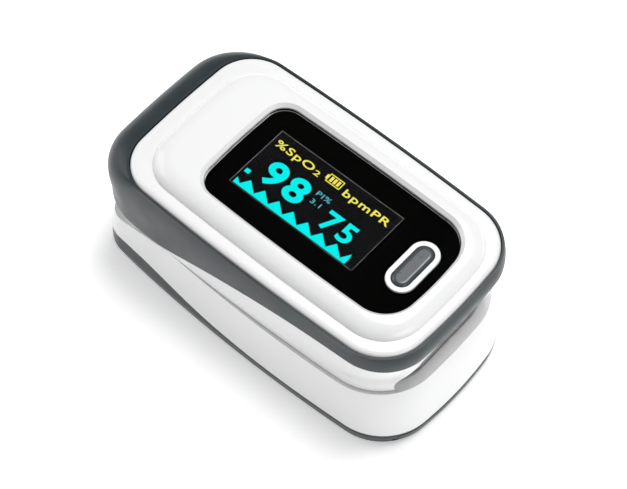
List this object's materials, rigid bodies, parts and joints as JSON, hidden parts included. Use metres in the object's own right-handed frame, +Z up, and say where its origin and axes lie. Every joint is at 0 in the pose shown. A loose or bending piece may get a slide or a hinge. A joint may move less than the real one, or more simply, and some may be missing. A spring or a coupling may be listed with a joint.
{
  "type": "fingertip pulse oximeter",
  "caption": "Clip-on fingertip pulse oximeter: two sprung jaws with a finger tunnel, a display lens and capsule button on top, and a sliding battery door.",
  "frame": {"origin": "under the middle of the body, on the surface it stands on", "axes": "+X towards the finger opening, +Y to the left side, +Z up"},
  "size_m": [0.0616, 0.0334, 0.0278],
  "materials": {
    "white_shell": "glossy injection-moulded white",
    "dark_shell": "satin dark grey",
    "lens": "clear hard-coated window over black",
    "black_film": "printed black film",
    "display": "display glass with lit figures",
    "silicone": "soft translucent silicone",
    "foam": "black closed-cell foam",
    "board": "green solder mask",
    "black_parts": "black moulded components",
    "steel": "bright spring steel",
    "clear_window": "clear",
    "cell_wrap": "plain shrink wrap",
    "inner_plastic": "light grey moulding",
    "ribbon": "amber polyimide"
  },
  "bodies": {
    "lower_jaw": {"lower_housing": "white_shell", "bottom_cover": "dark_shell", "lower_frame": "inner_plastic", "finger_bed": "inner_plastic", "lower_pad": "silicone", "sensor_board": "board", "photodiode": "black_parts", "sensor_window": "clear_window", "battery_left": "cell_wrap", "battery_right": "cell_wrap", "front_contacts": "steel", "rear_contacts": "steel", "contact_springs": "steel", "lower_screws": "steel", "hinge_pin": "steel", "torsion_springs": "steel", "flex_cable": "ribbon"},
    "upper_jaw": {"top_cover": "white_shell", "display_lens": "lens", "lens_mask": "black_film", "oled_panel": "display", "oled_frame": "foam", "main_board": "board", "processor_chip": "black_parts", "tact_switch": "steel", "upper_band": "dark_shell", "upper_inner_shell": "white_shell", "upper_pad": "silicone", "led_emitter": "clear_window", "led_window": "clear_window", "upper_screws": "steel"},
    "button": {"power_button": "dark_shell"},
    "door": {"battery_door": "dark_shell"}
  },
  "joints": [
    {"name": "jaw_hinge", "type": "hinge", "parent": "lower_jaw", "child": "upper_jaw", "pos_m": [-0.0145, 0, 0.015], "axis": [0, -1, 0], "range_deg": [0, 14], "stiffness_Nm_per_rad": 0.15, "springref_deg": -22.92, "deforming": ["torsion_springs", "flex_cable"]},
    {"name": "button_press", "type": "slide", "parent": "upper_jaw", "child": "button", "axis": [0, 0, -1], "range_m": [0, 0.00025], "stiffness_N_per_m": 3000, "springref_m": -0.0002},
    {"name": "door_slide", "type": "slide", "parent": "lower_jaw", "child": "door", "axis": [1, 0, 0], "range_m": [0, 0.04]}
  ]
}
